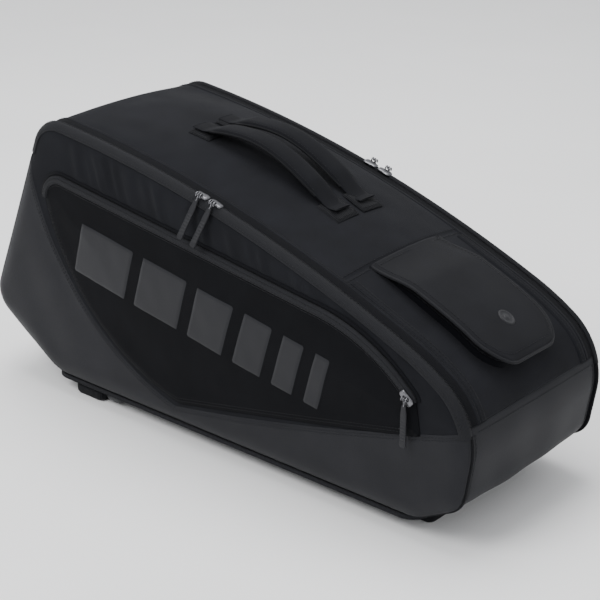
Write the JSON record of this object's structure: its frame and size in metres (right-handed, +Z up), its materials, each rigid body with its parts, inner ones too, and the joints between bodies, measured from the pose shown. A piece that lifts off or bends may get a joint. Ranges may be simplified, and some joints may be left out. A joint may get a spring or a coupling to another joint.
{
  "type": "racket tournament bag",
  "caption": "Long wedge-shaped racket bag with folding padded sides, zipped side pockets, a lidded top pod, paired carry handles and backpack straps.",
  "frame": {"origin": "centre of the bag's length and width, on the plane it rests on", "axes": "+X towards the narrow front end, +Y across the bag, +Z up"},
  "size_m": [0.7702, 0.3158, 0.3883],
  "materials": {
    "woven_fabric": "matte woven polyester",
    "panel_fabric": "smooth matte woven panel",
    "soft_fabric": "light gathered fabric with a faint sheen",
    "coated_fabric": "coated tarpaulin, fine grain",
    "base_fabric": "heavy coated base fabric",
    "stiffener": "plain sheet",
    "zip_tape": "coated zip tape with a fine coil",
    "slider_metal": "bright nickel",
    "puller_rubber": "moulded, satin",
    "print_ink": "tonal raised print",
    "lining": "smooth lining over foam",
    "webbing": "ribbed webbing",
    "buckle_plastic": "fine texture",
    "padding": "knitted cover over foam"
  },
  "bodies": {
    "bag_frame": {"top_panel": "woven_fabric", "rear_panel": "coated_fabric", "front_panel": "coated_fabric", "base_panel": "base_fabric", "base_board": "stiffener", "center_divider": "lining", "near_band_zip": "zip_tape", "far_band_zip": "zip_tape", "pod_gusset": "woven_fabric", "pod_zip": "zip_tape", "handle_patches": "webbing", "front_strap_anchors": "base_fabric", "rear_strap_anchors": "base_fabric"},
    "near_side": {"near_side_zip": "zip_tape", "near_side_binding": "zip_tape", "near_side_panel": "soft_fabric", "near_lower_panel": "coated_fabric", "near_foam_lining": "lining"},
    "near_pocket": {"near_pocket_panel": "panel_fabric", "near_side_print": "print_ink"},
    "near_rear_slider": {"near_rear_slider": "slider_metal"},
    "near_rear_puller": {"near_rear_puller": "puller_rubber"},
    "near_front_slider": {"near_front_slider": "slider_metal"},
    "near_front_puller": {"near_front_puller": "puller_rubber"},
    "near_pocket_slider": {"near_pocket_slider": "slider_metal"},
    "near_pocket_puller": {"near_pocket_puller": "puller_rubber"},
    "near_handle": {"near_handle_pad": "padding", "near_handle_webbing": "webbing"},
    "near_strap": {"near_strap_pad": "padding", "near_strap_ladder_lock": "buckle_plastic", "near_strap_webbing": "webbing", "near_strap_clip": "buckle_plastic"},
    "far_side": {"far_side_zip": "zip_tape", "far_side_binding": "zip_tape", "far_side_panel": "soft_fabric", "far_lower_panel": "coated_fabric", "far_foam_lining": "lining"},
    "far_pocket": {"far_pocket_panel": "panel_fabric", "far_side_print": "print_ink"},
    "far_rear_slider": {"far_rear_slider": "slider_metal"},
    "far_rear_puller": {"far_rear_puller": "puller_rubber"},
    "far_front_slider": {"far_front_slider": "slider_metal"},
    "far_front_puller": {"far_front_puller": "puller_rubber"},
    "far_pocket_slider": {"far_pocket_slider": "slider_metal"},
    "far_pocket_puller": {"far_pocket_puller": "puller_rubber"},
    "far_handle": {"far_handle_pad": "padding", "far_handle_webbing": "webbing"},
    "far_strap": {"far_strap_pad": "padding", "far_strap_ladder_lock": "buckle_plastic", "far_strap_webbing": "webbing", "far_strap_clip": "buckle_plastic"},
    "pod_lid": {"pod_lid": "woven_fabric", "pod_badge": "print_ink"},
    "pod_slider": {"pod_slider": "slider_metal"},
    "pod_puller": {"pod_puller": "puller_rubber"}
  },
  "joints": [
    {"name": "near_side_fold", "type": "hinge", "parent": "bag_frame", "child": "near_side", "pos_m": [0.04827, -0.1243, 0.0281], "axis": [1, 0, 0], "range_deg": [0, 50]},
    {"name": "near_rear_slider_travel", "type": "hinge", "parent": "near_side", "child": "near_rear_slider", "pos_m": [-0.43591, -0.124, -1.44788], "axis": [0, 1, 0], "range_deg": [-7.04, 0]},
    {"name": "near_rear_puller_swing", "type": "hinge", "parent": "near_rear_slider", "child": "near_rear_puller", "pos_m": [-0.00441, -0.1343, 0.33525], "axis": [-0.9719, 0, 0.2352], "range_deg": [0, 140]},
    {"name": "near_front_slider_travel", "type": "hinge", "parent": "near_side", "child": "near_front_slider", "pos_m": [-0.43591, -0.124, -1.44788], "axis": [0, 1, 0], "range_deg": [0, 8.67]},
    {"name": "near_front_puller_swing", "type": "hinge", "parent": "near_front_slider", "child": "near_front_puller", "pos_m": [0.01665, -0.1343, 0.33002], "axis": [-0.9691, 0, 0.2467], "range_deg": [0, 140]},
    {"name": "near_pocket_fold", "type": "hinge", "parent": "near_side", "child": "near_pocket", "pos_m": [-0.04073, -0.1383, 0.0521], "axis": [0.9781, 0, 0.2079], "range_deg": [0, 16]},
    {"name": "near_pocket_slider_travel", "type": "hinge", "parent": "near_pocket", "child": "near_pocket_slider", "pos_m": [0.14874, -0.1488, 0.01114], "axis": [0, 1, 0], "range_deg": [-38, 0]},
    {"name": "near_pocket_puller_swing", "type": "hinge", "parent": "near_pocket_slider", "child": "near_pocket_puller", "pos_m": [0.30908, -0.1488, 0.17775], "axis": [-1, 0, 0], "range_deg": [0, 150]},
    {"name": "near_handle_fold", "type": "hinge", "parent": "bag_frame", "child": "near_handle", "pos_m": [0.00527, -0.023, 0.34827], "axis": [0.9686, 0, -0.2486], "range_deg": [-6, 20]},
    {"name": "near_strap_swing", "type": "hinge", "parent": "bag_frame", "child": "near_strap", "pos_m": [0.27827, -0.054, 0.0018], "axis": [0, -1, 0], "range_deg": [0, 75]},
    {"name": "far_side_fold", "type": "hinge", "parent": "bag_frame", "child": "far_side", "pos_m": [0.04827, 0.1243, 0.0281], "axis": [-1, 0, 0], "range_deg": [0, 50]},
    {"name": "far_rear_slider_travel", "type": "hinge", "parent": "far_side", "child": "far_rear_slider", "pos_m": [-0.43591, 0.124, -1.44788], "axis": [0, 1, 0], "range_deg": [-8.56, 0]},
    {"name": "far_rear_puller_swing", "type": "hinge", "parent": "far_rear_slider", "child": "far_rear_puller", "pos_m": [0.04273, 0.1343, 0.32318], "axis": [0.9654, 0, -0.2609], "range_deg": [0, 140]},
    {"name": "far_front_slider_travel", "type": "hinge", "parent": "far_side", "child": "far_front_slider", "pos_m": [-0.43591, 0.124, -1.44788], "axis": [0, 1, 0], "range_deg": [0, 7.11]},
    {"name": "far_front_puller_swing", "type": "hinge", "parent": "far_front_slider", "child": "far_front_puller", "pos_m": [0.0648, 0.1343, 0.31707], "axis": [0.962, 0, -0.2729], "range_deg": [0, 140]},
    {"name": "far_pocket_fold", "type": "hinge", "parent": "far_side", "child": "far_pocket", "pos_m": [-0.04073, 0.1383, 0.0521], "axis": [-0.9781, 0, -0.2079], "range_deg": [0, 16]},
    {"name": "far_pocket_slider_travel", "type": "hinge", "parent": "far_pocket", "child": "far_pocket_slider", "pos_m": [0.14874, 0.1488, 0.01114], "axis": [0, 1, 0], "range_deg": [-38, 0]},
    {"name": "far_pocket_puller_swing", "type": "hinge", "parent": "far_pocket_slider", "child": "far_pocket_puller", "pos_m": [0.30908, 0.1488, 0.17775], "axis": [1, 0, 0], "range_deg": [0, 150]},
    {"name": "far_handle_fold", "type": "hinge", "parent": "bag_frame", "child": "far_handle", "pos_m": [0.00527, 0.023, 0.34827], "axis": [-0.9686, 0, 0.2486], "range_deg": [-6, 20]},
    {"name": "far_strap_swing", "type": "hinge", "parent": "bag_frame", "child": "far_strap", "pos_m": [0.27827, 0.054, 0.0018], "axis": [0, -1, 0], "range_deg": [0, 75]},
    {"name": "pod_lid_hinge", "type": "hinge", "parent": "bag_frame", "child": "pod_lid", "pos_m": [0.19177, 0, 0.28981], "axis": [0, -1, 0], "range_deg": [0, 100]},
    {"name": "pod_slider_travel", "type": "hinge", "parent": "bag_frame", "child": "pod_slider", "pos_m": [-0.43591, 0.0694, -1.44788], "axis": [0, 1, 0], "range_deg": [-1.89, 0.75]},
    {"name": "pod_puller_swing", "type": "hinge", "parent": "pod_slider", "child": "pod_puller", "pos_m": [0.26766, 0.0694, 0.25283], "axis": [0.3823, 0, 0.924], "range_deg": [0, 110]}
  ]
}
